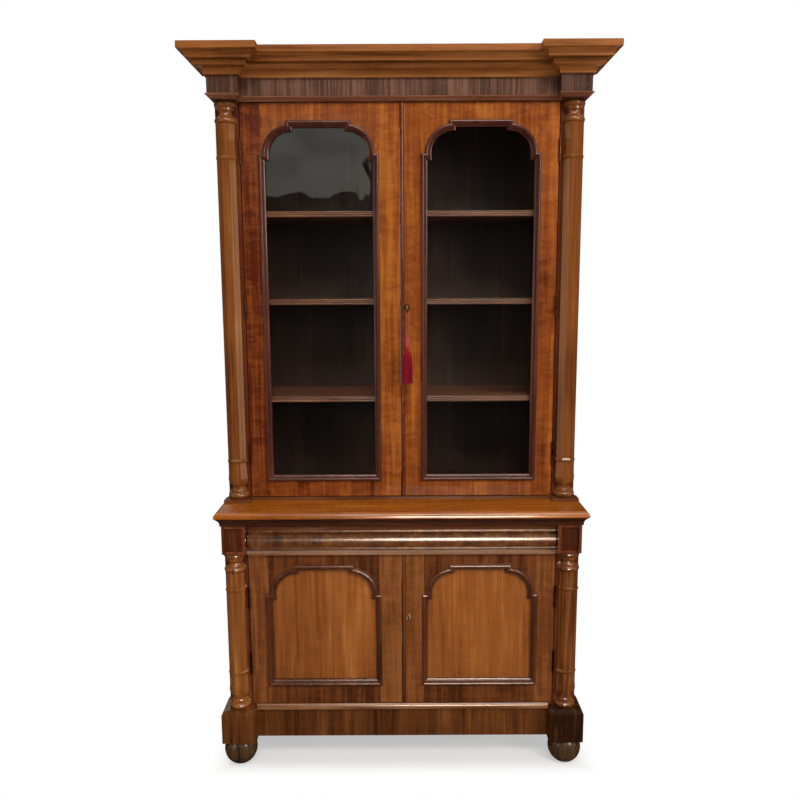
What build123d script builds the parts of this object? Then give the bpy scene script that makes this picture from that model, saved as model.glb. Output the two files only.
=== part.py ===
from build123d import *
import math
import os

# A two-part glazed bookcase: a cupboard base with a frieze drawer, and a glazed upper case with loose
# shelves on toothed racks. Millimetres. +X is to the viewer's right, -Y is the front, +Z is up.
# The origin is on the floor, in the middle of the width and depth of the waist.

# Case
case_width = 1184.0
pilaster_width = 75.0
base_depth = 437.0
upper_depth = 333.0
frame_thickness = 24.0
side_thickness = 22.0
board_thickness = 20.0
back_thickness = 12.0
back_board_count = 6
back_board_gap = 0.2
picking_room = 0.01

# Heights
foot_height = 92.0
plinth_height = 121.0
floor_rise = 6.0
door_gap = 2.0
base_door_height = 531.0
drawer_rail_height = 17.0
drawer_opening_height = 70.0
drawer_top_rail_height = 25.0
waist_moulding_height = 28.0
waist_top_thickness = 21.0
upper_case_height = 1309.0
neck_height = 14.0
frieze_height = 54.0
cornice_height = 80.5

# Feet and plinth
foot_diameter = 112.0
foot_base_radius = 18.0
foot_neck_radius = 44.0
foot_belly_height = 53.0
foot_shoulder_height = 87.0
front_foot_inset = 53.5
front_foot_setback = 3.0
rear_foot_inset = 58.0
plinth_block_width = 115.0
plinth_block_side = 23.0
plinth_block_front = 47.0
plinth_block_return = 63.0
plinth_bevel_height = 14.0
plinth_bevel_depth = 8.0
plinth_block_drop = 5.0
plinth_cap_height = 18.0
plinth_cap_depth = 9.0
plinth_cap_lip = 4.0
corner_block_size = 70.0
corner_block_height = 60.0

# Waist
waist_front = 63.0
waist_side = 19.0
waist_top_round = 15.0
waist_low_round = 3.0
waist_cove = 15.0
cove_lip = 4.0
cove_hollow = 3.0
base_block_front = 40.0
base_block_width = 78.0
base_block_height = 98.0
sunk_panel_margin = 10.0
sunk_panel_depth = 6.0

# Drawer and its opening
rail_depth = 60.0
bead_flat = 6.0
bead_round = 8.0
band_front = 8.0
band_height = 12.0
runner_width = 83.0
guide_strip_width = 20.0
guide_strip_height = 20.0
kicker_height = 12.0
drawer_gap = 2.0
drawer_front_thickness = 22.0
cushion_base = 4.0
cushion_depth = 16.0
cushion_fillet = 6.0
drawer_side_thickness = 12.0
drawer_side_setback = 1.0
drawer_length = 330.0
drawer_bottom_thickness = 6.0
drawer_bottom_rise = 5.0
drawer_running_gap = 0.3

# Base fillet, neck, frieze and cornice of the upper case
base_fillet_height = 10.0
base_fillet_front = 6.0
pad_front = 46.0
pad_width = 88.0
frieze_front = 18.0
frieze_block_front = 61.0
frieze_block_side = 10.0
frieze_block_width = 97.0
frieze_block_return = 53.0
moulding_backing = 14.0
neck_front = 5.0
neck_setback = 8.0
neck_lip = 3.0
ogee_foot = 8.0
ogee_low = 6.0
ogee_middle_front = 21.0
ogee_middle_height = 19.0
ogee_front = 34.0
ogee_top = 32.0
ogee_bow = 3.6
groove_front = 30.0
groove_bottom = 35.0
groove_top = 39.0
lip_front = 51.0
lip_top = 45.0
cove_front = 67.5
cove_bow = 3.5
fascia_front = 71.5
fascia_height = 20.0
cornice_back_drop = 20.0

# Columns
column_outset = 3.5
column_radius = 36.0
column_fillet_radius = 29.0
neck_radius = 24.0
neck_hollow = 2.5
bell_hollow = 4.5
capital_height = 69.0
ring_height = 20.0
capital_fillet_height = 8.0
torus_height = 20.0
drum_flare = 62.0
drum_waist = 58.0
upper_drum_height = 98.0
base_drum_height = 54.0
collar_across = 66.0
collar_height = 14.0
collar_lip = 5.0
shaft_across = 60.0
vase_height = 79.0
vase_across = 65.0
vase_foot_across = 61.5
vase_neck = 52.0
vase_shoulder = 57.0
vase_belly_share = 0.3
vase_foot_share = 0.12
base_height = 44.0
base_torus_height = 20.0
base_fillet_height_on_column = 8.0

# Doors
door_thickness = 22.0
hinge_gap = 3.0
meeting_gap = 2.0
hinge_side_margin = 56.0
meeting_side_margin = 67.0
outline_radius = 92.0
outline_flat = 208.0
outline_step = 13.0
upper_outline_bottom = 53.0
upper_outline_top = 54.0
base_outline_bottom = 64.0
base_outline_top = 35.0
moulding_width = 20.0
moulding_lap = 8.0
moulding_fit = 0.2
moulding_edge = 3.0
moulding_round_width = 11.0
moulding_round_rise = 4.8
moulding_quirk = 1.4
moulding_shoulder = 4.5
moulding_cove = 1.8
glass_seat = 12.0
glass_thickness = 3.0
panel_thickness = 10.0
pane_clearance = 1.0
glazing_bead_width = 7.0
meeting_bead_width = 11.0
meeting_bead_rise = 5.0

# Hinges
hinge_length = 76.0
hinge_end = 150.0
hinge_leaf = 1.4
hinge_leaf_depth = 20.0
knuckle_radius = 4.0
knuckle_gap = 0.4
hinge_pin_radius = 2.0
hinge_pin_fit = 0.05
upper_hinge_count = 3
base_hinge_count = 2

# Locks, key and sliding bolts
lock_width = 46.0
lock_height = 60.0
lock_depth = 9.0
lock_wall = 1.5
lock_fit = 0.3
lock_bolt_length = 34.0
lock_bolt_height = 11.0
lock_bolt_thickness = 5.0
lock_bolt_rise = 17.0
lock_bolt_throw = 8.0
mortise_room = 1.0
key_inset = 21.0
upper_key_height = 1563.0
base_key_height = 524.0
keyhole_slot = 3.4
keyhole_length = 10.0
escutcheon_width = 18.0
escutcheon_height = 31.0
escutcheon_thickness = 1.5
key_radius = 2.5
key_reach = 26.0
key_bit_length = 9.0
key_bit_width = 5.0
key_bit_thickness = 2.2
bow_radius = 9.0
bow_wire = 1.8
rod_radius = 3.0
rod_length = 64.0
rod_fit = 0.3
rod_inset = 34.0
rod_stand = 3.5
rod_socket = 15.0
rod_tip_gap = 2.0
rod_knob_place = 34.0
rod_knob_radius = 3.6
rod_knob_length = 8.0
guide_near = 10.0
guide_far = 44.0
guide_width = 14.0
guide_height = 8.0

# Tassel
cord_diameter = 2.6
cord_drop = 85.0
cord_spread = 2.2
cord_clear = 0.8
cord_side_room = 0.3
cord_end_gap = 0.05
tassel_knob_radius = 8.0
tassel_neck_radius = 5.0
tassel_knob_height = 36.0
tassel_collar_height = 16.0
tassel_skirt_length = 104.0
tassel_skirt_radius = 16.0

# Shelves
shelf_thickness = 19.0
shelf_setback = 34.0
shelf_side_gap = 2.0
shelf_back_gap = 2.0
reed_count = 3
reed_depth = 2.4
rack_width = 16.0
rack_depth = 20.0
rack_clearance = 2.0
tooth_pitch = 41.3
tooth_depth = 9.0
first_tooth = 46.0
bearer_height = 20.0
bearer_fit = 0.5
lower_shelf_tooth_count = 6
middle_shelf_tooth_count = 14
top_shelf_tooth_count = 21
cupboard_shelf_height = 250.0
cupboard_shelf_setback = 60.0

# Planes and levels worked out from the sizes above
half_case = case_width / 2
half_opening = half_case - pilaster_width
inner_half = half_case - side_thickness
column_x = (half_case + half_opening) / 2 + column_outset
back_y = (base_depth + waist_front) / 2
back_face = back_y - back_thickness
base_face = back_y - base_depth
upper_face = back_y - upper_depth
base_inside = base_face + frame_thickness
upper_inside = upper_face + frame_thickness
plinth_top = foot_height + plinth_height
plinth_block_top = plinth_top - plinth_block_drop
base_floor_top = plinth_top + floor_rise
base_floor_bottom = base_floor_top - board_thickness
base_door_bottom = plinth_top + door_gap
base_door_top = base_door_bottom + base_door_height
rail_bottom = base_door_top + door_gap
rail_top = rail_bottom + drawer_rail_height
drawer_ceiling = rail_top + drawer_opening_height
waist_bottom = drawer_ceiling + drawer_top_rail_height
waist_board_bottom = waist_bottom + waist_moulding_height
waist_level = waist_board_bottom + waist_top_thickness
base_fillet_top = waist_level + base_fillet_height
upper_case_top = waist_level + upper_case_height
frieze_bottom = upper_case_top + neck_height
frieze_top = frieze_bottom + frieze_height
cornice_top = frieze_top + cornice_height
upper_door_bottom = base_fillet_top + door_gap
upper_door_top = upper_case_top - door_gap
upper_floor_top = waist_level + board_thickness
upper_ceiling = upper_case_top - board_thickness
base_block_inner = half_case - base_block_width
base_block_bottom = waist_bottom - base_block_height
meeting_x = meeting_gap / 2
door_width = half_opening - hinge_gap - meeting_x
outline_width = door_width - meeting_side_margin - hinge_side_margin
outline_centre = meeting_x + meeting_side_margin + outline_width / 2
hinge_x = half_opening - hinge_gap / 2
hinge_pin_front = knuckle_radius + knuckle_gap
key_x = meeting_x + key_inset
keyhole_radius = key_radius + lock_fit
rod_x = -meeting_x - rod_inset
rod_offset = door_thickness + rod_stand + rod_radius
rod_hole = rod_radius + rod_fit


def block(x0, x1, y0, y1, z0, z1):
    """A box between two corners."""
    return Pos((x0 + x1) / 2, (y0 + y1) / 2, (z0 + z1) / 2) * Box(x1 - x0, y1 - y0, z1 - z0)


def both_sides(solid):
    """A right-hand piece and its mirror image on the left."""
    return [solid, mirror(solid, about=Plane.YZ)]


def save(name, *pieces):
    """Writes one node as a group of separate solids."""
    solids = []
    for piece in pieces:
        for item in piece if isinstance(piece, list) else [piece]:
            solids.extend(item.solids())
    export_step(Compound(children=solids, label=name), f"parts/{name}.step")


def bowed(start, end, sag):
    """An arc that stands off its chord by sag, to the left of the way from start to end."""
    chord = Vector(end) - Vector(start)
    middle = (Vector(start) + Vector(end)) * 0.5 + Vector(-chord.Y, chord.X, 0).normalized() * sag
    return ThreePointArc(start, middle, end)


def upright(y):
    """A drawing plane that faces the front: local x is X, local y is Z, and it rises to the viewer."""
    return Plane(origin=(0, y, 0), x_dir=(1, 0, 0), z_dir=(0, -1, 0))


def along_x(outline, x0, x1):
    """A closed outline of (y, z) edges, drawn out along X."""
    section = Plane(origin=(x0, 0, 0), x_dir=(0, 1, 0), z_dir=(1, 0, 0)) * make_face(outline)
    return extrude(section, amount=x1 - x0, dir=(1, 0, 0))


def turned(edges):
    """A turned piece from a closed outline of (radius, height) edges."""
    return revolve(Plane.XZ * make_face(edges), axis=Axis.Z)


# Mouldings are made of straight and curved lengths, mitred where two lengths meet.
def straight(start, end):
    return {"start": Vector(start), "end": Vector(end), "centre": None}


def curved(start, end, centre):
    return {"start": Vector(start), "end": Vector(end), "centre": Vector(centre)}


def heading(length, at):
    """The direction of travel at the start or end of a length. Curved lengths turn to the left."""
    if length["centre"] is None:
        return (length["end"] - length["start"]).normalized()
    spoke = length[at] - length["centre"]
    return Vector(-spoke.Y, spoke.X, 0).normalized()


def moulding_blank(section, length, reach):
    """One length of moulding, longer at both ends than its mitres need."""
    first = heading(length, "start")
    left = Vector(-first.Y, first.X, 0)
    if length["centre"] is None:
        profile = Plane(origin=length["start"] - first * reach, x_dir=left, z_dir=first) * section
        return extrude(profile, amount=(length["end"] - length["start"]).length + 2 * reach, dir=first)
    lift = Vector(0, 0, 1)
    radius = (length["start"] - length["centre"]).length
    spare = math.degrees(1.5 * reach / (radius - reach))
    turn = first.get_signed_angle(heading(length, "end"), lift)
    axis = Axis(length["centre"], lift)
    profile = Plane(origin=length["start"], x_dir=left, z_dir=first) * section
    return revolve(profile.rotate(axis, -spare), axis=axis, revolution_arc=turn + 2 * spare)


def cut_line(point, inner_point, travel):
    """The mitre plane through a corner of the route and the same corner on its inner side."""
    across = inner_point - point
    normal = Vector(across.Y, -across.X, 0)
    return Plane(origin=point, z_dir=normal if normal.dot(travel) > 0 else normal * -1)


def mitred_ring(section, outer, inner, base):
    """The lengths of a closed moulding. Section x runs to the left of the route and y rises from base."""
    reach = section.bounding_box().size.X + 1
    solids = []
    for length, inside in zip(outer, inner):
        solid = moulding_blank(section, length, reach)
        start = cut_line(length["start"], inside["start"], heading(length, "start"))
        end = cut_line(length["end"], inside["end"], heading(length, "end"))
        solid = split(solid, bisect_by=start, keep=Keep.TOP)
        solid = split(solid, bisect_by=end, keep=Keep.BOTTOM)
        solids.extend((base * solid).solids())
    return solids


def mitred_run(section, points):
    """The lengths of an open moulding round a plan, with square ends. Section x runs outwards, y up."""
    reach = section.bounding_box().size.X + 1
    route = [straight(start, end) for start, end in zip(points, points[1:])]
    travel = [heading(length, "start") for length in route]
    solids = []
    for index, length in enumerate(route):
        before = travel[max(index - 1, 0)]
        following = travel[min(index + 1, len(route) - 1)]
        start = Plane(origin=length["start"], z_dir=before + travel[index])
        end = Plane(origin=length["end"], z_dir=following + travel[index])
        solid = split(moulding_blank(section, length, reach), bisect_by=start, keep=Keep.TOP)
        solids.extend(split(solid, bisect_by=end, keep=Keep.BOTTOM).solids())
    return solids


def mirrored_route(points):
    """A plan route over the right half, carried on over the left half."""
    return points + [(-x, y) for x, y in reversed(points)]


def arch_route(bottom, top, inset):
    """A right door's shouldered arch, counter-clockwise: sides, steps, rounds and a flat top."""
    half = outline_width / 2 - inset
    low = bottom + inset
    high = top - inset
    radius = outline_radius - inset
    arc_x = outline_width / 2 - outline_step - outline_radius
    arc_end = outline_flat / 2 - arc_x
    spring = top - outline_step - math.sqrt(outline_radius ** 2 - arc_end ** 2)
    foot = math.sqrt(radius ** 2 - inset ** 2)
    crown = outline_flat / 2 - inset
    rise = math.sqrt(radius ** 2 - (crown - arc_x) ** 2)
    points = [
        (half, low), (half, spring - inset), (arc_x + foot, spring - inset),
        (crown, spring + rise), (crown, high),
    ]
    points = [Vector(outline_centre + side * x, z) for side in (1, -1) for x, z in points[::side]]
    route = [straight(start, end) for start, end in zip(points, points[1:] + points[:1])]
    for index, side in ((2, 1), (6, -1)):
        route[index] = curved(points[index], points[index + 1], (outline_centre + side * arc_x, spring))
    return route


def arch_face(bottom, top, inset):
    """The area inside the shouldered arch."""
    edges = []
    for length in arch_route(bottom, top, inset):
        if length["centre"] is None:
            edges.append(Line(length["start"], length["end"]))
        else:
            radius = (length["start"] - length["centre"]).length
            bulge = (length["start"] + length["end"]) * 0.5 - length["centre"]
            middle = length["centre"] + bulge.normalized() * radius
            edges.append(ThreePointArc(length["start"], middle, length["end"]))
    return make_face(edges)


os.makedirs("parts", exist_ok=True)


# Feet and plinth
def bun_foot(x, y):
    base = (foot_base_radius, 0)
    belly = (foot_diameter / 2, foot_belly_height)
    shoulder = (foot_neck_radius, foot_shoulder_height)
    return Pos(x, y, 0) * turned([
        Line((0, 0), base),
        TangentArc(belly, base, tangent=(0, -1)),
        TangentArc(belly, shoulder, tangent=(0, 1)),
        Polyline(shoulder, (foot_neck_radius, foot_height), (0, foot_height), (0, 0)),
    ])


def plinth_block():
    """The block that breaks forward under a column, bevelled along its outer top edges."""
    outer = half_case + plinth_block_side
    inner = outer - plinth_block_width
    front = base_face - plinth_block_front
    rear = base_face + plinth_block_return
    plan = Polyline(
        (inner, front), (outer, front), (outer, rear), (half_case, rear), (half_case, base_face),
        (inner, base_face), close=True,
    )
    height = plinth_block_top - foot_height
    solid = extrude(Pos(0, 0, foot_height) * make_face(plan), amount=height, dir=(0, 0, 1))
    top_face = solid.faces().sort_by(Axis.Z)[-1]
    bevelled = []
    for edge in top_face.edges():
        middle = edge.center()
        if abs(middle.Y - base_face) > picking_room and abs(middle.X - half_case) > picking_room:
            bevelled.append(edge)
    return chamfer(bevelled, plinth_bevel_depth, plinth_bevel_height, reference=top_face)


def plinth_cap_length(origin, outward, along, length):
    """A length of the rounded moulding along the top of the plinth."""
    low = plinth_top - plinth_cap_height
    nose = (plinth_cap_depth, low + plinth_cap_lip)
    crest = (plinth_cap_lip, plinth_top)
    section = make_face([
        Polyline(crest, (0, plinth_top), (0, low), (plinth_cap_depth, low), nose),
        bowed(nose, crest, -plinth_cap_lip / 2),
    ])
    return extrude(Plane(origin=origin, x_dir=outward, z_dir=along) * section, amount=length, dir=along)


front_foot_x = half_case + plinth_block_side - front_foot_inset
front_foot = bun_foot(front_foot_x, base_face + front_foot_setback)
rear_foot = bun_foot(half_case - rear_foot_inset, back_y - rear_foot_inset)
save("bun_feet", both_sides(front_foot), both_sides(rear_foot))

rear_board_face = back_y - board_thickness
corner_top = foot_height + corner_block_height
corner_x = inner_half - corner_block_size
front_corner = base_inside + corner_block_size
rear_corner = rear_board_face - corner_block_size
save(
    "plinth_boards",
    block(-half_opening, half_opening, base_face, base_inside, foot_height, plinth_top),
    block(-inner_half, inner_half, rear_board_face, back_y, foot_height, base_floor_bottom),
    both_sides(block(inner_half, half_case, base_inside, back_y, foot_height, base_floor_bottom)),
    both_sides(block(corner_x, inner_half, base_inside, front_corner, foot_height, corner_top)),
    both_sides(block(corner_x, inner_half, rear_corner, rear_board_face, foot_height, corner_top)),
)
save("plinth_blocks", both_sides(plinth_block()))

cap_half = half_case + plinth_block_side - plinth_block_width
cap_rear = base_face + plinth_block_return
save(
    "plinth_cap",
    plinth_cap_length((cap_half, base_face, 0), (0, -1, 0), (-1, 0, 0), 2 * cap_half),
    both_sides(plinth_cap_length((-half_case, cap_rear, 0), (-1, 0, 0), (0, 1, 0), back_y - cap_rear)),
)


# Carcases
def back_boards(low, high):
    pitch = 2 * inner_half / back_board_count
    boards = []
    for index in range(back_board_count):
        left = -inner_half + index * pitch
        boards.append(block(left, left + pitch - back_board_gap, back_face, back_y, low, high))
    return boards


save("base_floor", block(-inner_half, inner_half, base_inside, back_face, base_floor_bottom, base_floor_top))
base_side = block(inner_half, half_case, base_inside, back_y, base_floor_bottom, waist_board_bottom)
save("base_sides", both_sides(base_side))
save("base_back", back_boards(base_floor_bottom, waist_board_bottom))
base_pilaster = block(half_opening, half_case, base_face, base_inside, foot_height, waist_board_bottom)
save("base_pilasters", both_sides(base_pilaster))

upper_side = block(inner_half, half_case, upper_inside, back_y, waist_level, upper_case_top)
save("upper_sides", both_sides(upper_side))
save("upper_back", back_boards(waist_level, upper_case_top))
upper_pilaster = block(half_opening, half_case, upper_face, upper_inside, waist_level, upper_case_top)
save("upper_pilasters", both_sides(upper_pilaster))

rod_bore = Pos(rod_x, upper_face + rod_offset, 0) * Cylinder(rod_hole, 2 * rod_socket)
upper_floor = block(-inner_half, inner_half, upper_inside, back_face, waist_level, upper_floor_top)
upper_top = block(-inner_half, inner_half, upper_inside, back_face, upper_ceiling, upper_case_top)
upper_floor -= Pos(0, 0, upper_floor_top) * rod_bore
upper_top -= Pos(0, 0, upper_ceiling) * rod_bore
save("upper_boards", upper_floor, upper_top)


# Columns
def faceted(*rings):
    """An eight-sided piece through rings of (height, width across the flats)."""
    sections = []
    for z, across in rings:
        sections.append(Pos(0, 0, z) * RegularPolygon(across / 2, 8, major_radius=False, rotation=22.5))
    return loft(sections, ruled=True)


def collar(z):
    rings = [(0, shaft_across), (collar_lip, collar_across)]
    rings += [(collar_height - height, across) for height, across in reversed(rings)]
    return faceted(*[(z + height, across) for height, across in rings])


def capital(z):
    """The turned top of a column: a torus, a hollow bell, a fillet and a ring."""
    inner = column_fillet_radius
    bulge = inner - column_radius
    ring_low = capital_height - ring_height
    fillet_low = ring_low - capital_fillet_height
    return Pos(0, 0, z) * turned([
        Line((0, 0), (inner, 0)),
        bowed((inner, 0), (inner, torus_height), bulge),
        bowed((inner, torus_height), (neck_radius, fillet_low), bell_hollow),
        Polyline((neck_radius, fillet_low), (inner, fillet_low), (inner, ring_low)),
        bowed((inner, ring_low), (inner, capital_height), bulge),
        Polyline((inner, capital_height), (0, capital_height), (0, 0)),
    ])


def column_foot(z):
    """The turned bottom of a column: a torus, a fillet and a hollow neck."""
    inner = column_fillet_radius
    fillet_high = base_torus_height + base_fillet_height_on_column
    neck = vase_neck / 2
    return Pos(0, 0, z) * turned([
        Line((0, 0), (inner, 0)),
        bowed((inner, 0), (inner, base_torus_height), inner - column_radius),
        Polyline((inner, base_torus_height), (inner, fillet_high), (neck, fillet_high)),
        bowed((neck, fillet_high), (neck, base_height), neck_hollow),
        Polyline((neck, base_height), (0, base_height), (0, 0)),
    ])


def half_column(low, high, drum_height, face):
    """A column from its foot up, cut in half by the pilaster's face."""
    vase_low = low + base_height
    vase_top = vase_low + vase_height
    drum_top = high - capital_height
    drum_low = drum_top - drum_height
    shaft_low = vase_top + collar_height
    shaft_top = drum_low - collar_height
    vase_foot = vase_low + vase_height * vase_foot_share
    belly = vase_low + vase_height * vase_belly_share
    vase = faceted(
        (vase_low, vase_neck), (vase_foot, vase_foot_across), (belly, vase_across), (vase_top, vase_shoulder)
    )
    shaft = faceted((shaft_low, shaft_across), (shaft_top, shaft_across))
    drum = faceted((drum_low, shaft_across), (drum_low + drum_height / 2, drum_waist), (drum_top, drum_flare))
    whole = column_foot(low) + vase + collar(vase_top) + shaft + collar(shaft_top) + drum + capital(drum_top)
    pilaster_plane = Plane(origin=(0, 0, 0), z_dir=(0, -1, 0))
    return Pos(column_x, face, 0) * split(whole, bisect_by=pilaster_plane, keep=Keep.TOP)


base_column = half_column(plinth_block_top, base_block_bottom, base_drum_height, base_face)
upper_column = half_column(base_fillet_top, upper_case_top, upper_drum_height, upper_face)
save("base_columns", both_sides(base_column))
save("upper_columns", both_sides(upper_column))

# Base frieze: sunk-panelled blocks, rails of the drawer opening, runners, guides and kickers
base_block_face = base_face - base_block_front
base_block = block(base_block_inner, half_case, base_block_face, base_face, base_block_bottom, waist_bottom)
sunk_panel = block(
    base_block_inner + sunk_panel_margin, half_case - sunk_panel_margin,
    base_block_face, base_block_face + sunk_panel_depth,
    base_block_bottom + sunk_panel_margin, waist_bottom - sunk_panel_margin,
)
save("base_frieze_blocks", both_sides(base_block - sunk_panel))

rail_back = base_face + rail_depth
bead_line = base_face - bead_flat
rail = block(-half_opening, half_opening, base_face, rail_back, rail_bottom, rail_top)
rail += along_x(
    [
        bowed((bead_line, rail_bottom), (bead_line, rail_top), bead_round),
        Polyline((bead_line, rail_top), (base_face, rail_top), (base_face, rail_bottom)),
        Line((base_face, rail_bottom), (bead_line, rail_bottom)),
    ],
    -base_block_inner, base_block_inner,
)
rail -= Pos(rod_x, base_face + rod_offset, rail_bottom) * Cylinder(rod_hole, 2 * rod_socket)
top_rail = block(-half_opening, half_opening, base_face, base_inside, drawer_ceiling, waist_board_bottom)
band_face = base_face - band_front
band_top = drawer_ceiling + band_height
top_rail += block(-base_block_inner, base_block_inner, band_face, base_face, drawer_ceiling, band_top)
runner_x = inner_half - runner_width
drawer_half = base_block_inner - drawer_gap
box_half = drawer_half - drawer_side_setback
guide_x = box_half + drawer_gap
guide_high = rail_top + guide_strip_height
save(
    "drawer_frame", rail, top_rail,
    both_sides(block(runner_x, inner_half, rail_back, back_face, rail_bottom, rail_top)),
    both_sides(block(guide_x, guide_x + guide_strip_width, rail_back, back_face, rail_top, guide_high)),
    both_sides(
        block(runner_x, inner_half, base_inside, back_face, drawer_ceiling, drawer_ceiling + kicker_height)
    ),
)

# Waist: a cove round the base, and the top board with its round nosing
cove_high = (waist_cove, waist_board_bottom - cove_lip)
cove_low = (cove_lip, waist_bottom + cove_lip)
cove_section = make_face([
    Polyline(cove_high, (waist_cove, waist_board_bottom), (0, waist_board_bottom), (0, waist_bottom)),
    Polyline((0, waist_bottom), (cove_lip, waist_bottom), cove_low),
    bowed(cove_low, cove_high, cove_hollow),
])
waist_plan = mirrored_route([(half_case, back_y), (half_case, base_block_face)])
waist_filler = block(-half_case, half_case, base_block_face, base_face, waist_bottom, waist_board_bottom)
save("waist_moulding", mitred_run(cove_section, waist_plan), waist_filler)

top_half = half_case + waist_side
waist_top = block(-top_half, top_half, base_face - waist_front, back_y, waist_board_bottom, waist_level)
for level, radius in ((waist_level, waist_top_round), (waist_board_bottom, waist_low_round)):
    edges = waist_top.edges().filter_by_position(Axis.Z, level - picking_room, level + picking_room)
    waist_top = fillet([edge for edge in edges if edge.center().Y < back_y - picking_room], radius)
save("waist_top", waist_top)

# Base fillet of the upper case, with a pad under each column
pad_inner = column_x - pad_width / 2
pad_outer = column_x + pad_width / 2
sill = block(-half_opening, half_opening, upper_face, upper_inside, waist_level, base_fillet_top)
sill += block(-pad_inner, pad_inner, upper_face - base_fillet_front, upper_face, waist_level, base_fillet_top)
side_strip = block(half_case, half_case + base_fillet_front, upper_face, back_y, waist_level, base_fillet_top)
pad = block(pad_inner, pad_outer, upper_face - pad_front, upper_face, waist_level, base_fillet_top)
save("upper_base_moulding", sill, both_sides(side_strip), both_sides(pad))

# Frieze: a front board, blocks that break forward, side boards and a back rail. Each has a narrower
# part below, behind the neck moulding.
frieze_outer = half_case + frieze_block_side
frieze_inner = frieze_outer - frieze_block_width
block_front = upper_face - frieze_block_front
block_rear = upper_face + frieze_block_return
board_front = upper_face - frieze_front
board_rear = upper_face + neck_setback
seat_rear = block_rear - moulding_backing
seat_front = block_front + moulding_backing
board_seat = board_front + moulding_backing
seat_x = frieze_inner + moulding_backing
seat_outer = frieze_outer - moulding_backing
well_half = half_case - moulding_backing
front_board = block(-frieze_inner, frieze_inner, board_front, board_rear, frieze_bottom, frieze_top)
front_board += block(-seat_x, seat_x, board_seat, seat_rear, upper_case_top, frieze_bottom)
frieze_block = block(frieze_inner, frieze_outer, block_front, block_rear, frieze_bottom, frieze_top)
frieze_block += block(seat_x, seat_outer, seat_front, seat_rear, upper_case_top, frieze_bottom)
side_board = block(inner_half, half_case, block_rear, back_y, frieze_bottom, frieze_top)
side_board += block(inner_half, well_half, seat_rear, back_y, upper_case_top, frieze_bottom)
back_rail = block(-inner_half, inner_half, rear_board_face, back_y, upper_case_top, frieze_top)
save("frieze", front_board, back_rail, both_sides(frieze_block), both_sides(side_board))

crown_plan = mirrored_route([
    (half_case, back_y), (half_case, block_rear), (frieze_outer, block_rear), (frieze_outer, block_front),
    (frieze_inner, block_front), (frieze_inner, board_front),
])
neck_section = make_face(Polyline(
    (-moulding_backing, upper_case_top), (-neck_setback, upper_case_top),
    (neck_front, frieze_bottom - neck_lip), (neck_front, frieze_bottom),
    (-moulding_backing, frieze_bottom), close=True,
))
save("neck_moulding", mitred_run(neck_section, crown_plan))

fascia_low = cornice_height - fascia_height
ogee_middle = (ogee_middle_front, ogee_middle_height)
cornice_section = Pos(0, frieze_top) * make_face([
    Polyline((-moulding_backing, cornice_height), (-moulding_backing, 0), (ogee_foot, 0)),
    Line((ogee_foot, 0), (ogee_foot, ogee_low)),
    bowed((ogee_foot, ogee_low), ogee_middle, ogee_bow),
    bowed(ogee_middle, (ogee_front, ogee_top), -ogee_bow),
    Polyline((ogee_front, ogee_top), (ogee_front, groove_bottom), (groove_front, groove_bottom)),
    Polyline((groove_front, groove_bottom), (groove_front, groove_top), (lip_front, groove_top)),
    Line((lip_front, groove_top), (lip_front, lip_top)),
    bowed((lip_front, lip_top), (cove_front, fascia_low), cove_bow),
    Polyline((cove_front, fascia_low), (fascia_front, fascia_low), (fascia_front, cornice_height)),
    Line((fascia_front, cornice_height), (-moulding_backing, cornice_height)),
])
cornice_back_top = cornice_top - cornice_back_drop
cornice_back = block(-well_half, well_half, rear_board_face, back_y, frieze_top, cornice_back_top)
save("cornice", mitred_run(cornice_section, crown_plan), cornice_back)

# Toothed racks, loose bearers and shelves
rack_x = inner_half - rack_width
tooth_zero = upper_floor_top + first_tooth
tooth_count = int((upper_ceiling - tooth_zero) / tooth_pitch)


def tooth_level(tooth):
    return tooth_zero + tooth * tooth_pitch


def rack(back, toward):
    """An upright strip with a ledge and a slope at each tooth. Toward points to the middle of the case."""
    tip = back + toward * rack_depth
    root = tip - toward * tooth_depth
    points = [(back, upper_floor_top), (tip, upper_floor_top)]
    for tooth in range(tooth_count):
        points += [(tip, tooth_level(tooth)), (root, tooth_level(tooth))]
    points += [(tip, tooth_level(tooth_count)), (tip, upper_ceiling), (back, upper_ceiling)]
    return along_x(Polyline(*points, close=True), rack_x, inner_half)


def bearer(tooth):
    """A loose bar whose sloping ends lie in one tooth of the front rack and one of the rear rack."""
    low = rack_depth - tooth_depth + bearer_fit
    high = low + tooth_depth * bearer_height / tooth_pitch
    level = tooth_level(tooth)
    points = [
        (upper_inside + low, level), (back_face - low, level),
        (back_face - high, level + bearer_height), (upper_inside + high, level + bearer_height),
    ]
    return along_x(Polyline(*points, close=True), rack_x, inner_half)


def reeded_board(front, level):
    """A shelf with small rounds run along its front edge."""
    rear = back_face - shelf_back_gap
    edge_line = front + reed_depth
    high = level + shelf_thickness
    step = shelf_thickness / reed_count
    outline = [Polyline((edge_line, high), (rear, high), (rear, level), (edge_line, level))]
    for reed in range(reed_count):
        low = level + reed * step
        outline.append(bowed((edge_line, low), (edge_line, low + step), reed_depth))
    return along_x(outline, shelf_side_gap - inner_half, inner_half - shelf_side_gap)


def upper_shelf(tooth):
    """A shelf on its bearers, notched round the four racks."""
    level = tooth_level(tooth) + bearer_height
    high = level + shelf_thickness
    board = reeded_board(upper_face + shelf_setback, level)
    front_notch = (upper_face, upper_inside + rack_depth + rack_clearance)
    rear_notch = (back_face - rack_depth - rack_clearance, back_y)
    for y0, y1 in (front_notch, rear_notch):
        for notch in both_sides(block(rack_x - rack_clearance, inner_half, y0, y1, level, high)):
            board -= notch
    return board


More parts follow.
